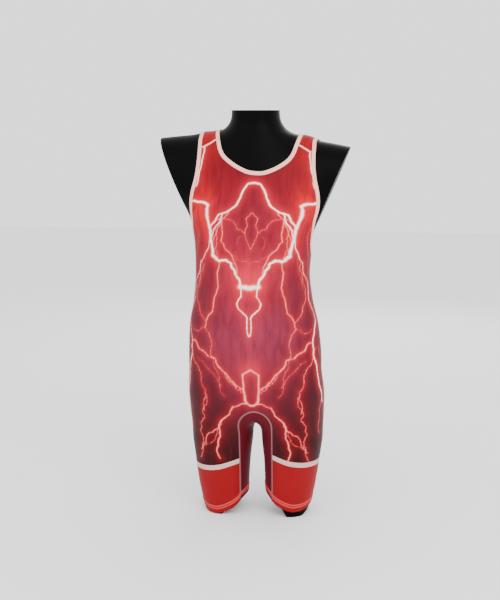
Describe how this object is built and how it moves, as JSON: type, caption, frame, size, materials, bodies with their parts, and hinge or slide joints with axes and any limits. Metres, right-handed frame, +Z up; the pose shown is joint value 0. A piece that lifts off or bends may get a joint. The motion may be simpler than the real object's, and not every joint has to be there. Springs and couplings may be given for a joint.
{
  "type": "wrestling singlet on a dress form",
  "caption": "One-piece sleeveless wrestling suit with short legs, scoop neck and bound armholes, stretched on a black limbless dress form that stands on its thigh stumps.",
  "frame": {"origin": "middle of the overall box, on the surface that the thigh stumps stand on", "axes": "+Z up, front of the garment faces -Y, +X to the right of a viewer who faces the front"},
  "size_m": [0.43, 0.2289, 0.933],
  "materials": {
    "form": "black, satin plastic shell, smooth",
    "printed_knit": "sublimation-printed elastane knit, taut, soft sheen",
    "maroon_knit": "plain elastane knit, taut, soft sheen",
    "red_knit": "plain elastane knit, taut, soft sheen",
    "pale_knit": "off-white elastane knit, matt",
    "binding_knit": "pinkish off-white folded elastic binding, matt"
  },
  "bodies": {
    "root": {"dress_form": "form", "front_panel": "printed_knit", "back_panel": "printed_knit", "gusset": "maroon_knit", "cuff_left": "red_knit", "cuff_right": "red_knit", "stripe_left": "pale_knit", "stripe_right": "pale_knit", "neck_binding": "binding_knit", "armhole_binding_left": "binding_knit", "armhole_binding_right": "binding_knit"}
  },
  "joints": []
}
